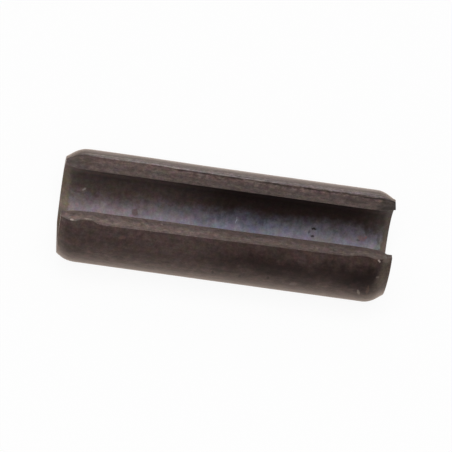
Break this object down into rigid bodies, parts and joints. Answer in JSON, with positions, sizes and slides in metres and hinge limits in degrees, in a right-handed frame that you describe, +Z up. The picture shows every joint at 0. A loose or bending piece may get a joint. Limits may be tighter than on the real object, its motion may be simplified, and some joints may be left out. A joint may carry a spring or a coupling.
{
  "type": "slotted spring pin",
  "caption": "Rolled spring-steel pin with a lengthwise slot and swaged lead-in ends, for pressing into a drilled hole.",
  "frame": {"origin": "on the supporting surface, under the middle of the pin, which lies on its side with its slot upwards", "axes": "+X along the pin's axis, +Z up through the slot, -Y towards the lip whose face shows from the front"},
  "size_m": [0.0162, 0.0054, 0.005],
  "materials": {
    "oxidised_spring_steel": "dark brown-grey heat-treatment oxide with light rust, bluish grey inside the bore"
  },
  "bodies": {
    "root": {"spring_pin": "oxidised_spring_steel"}
  },
  "joints": []
}
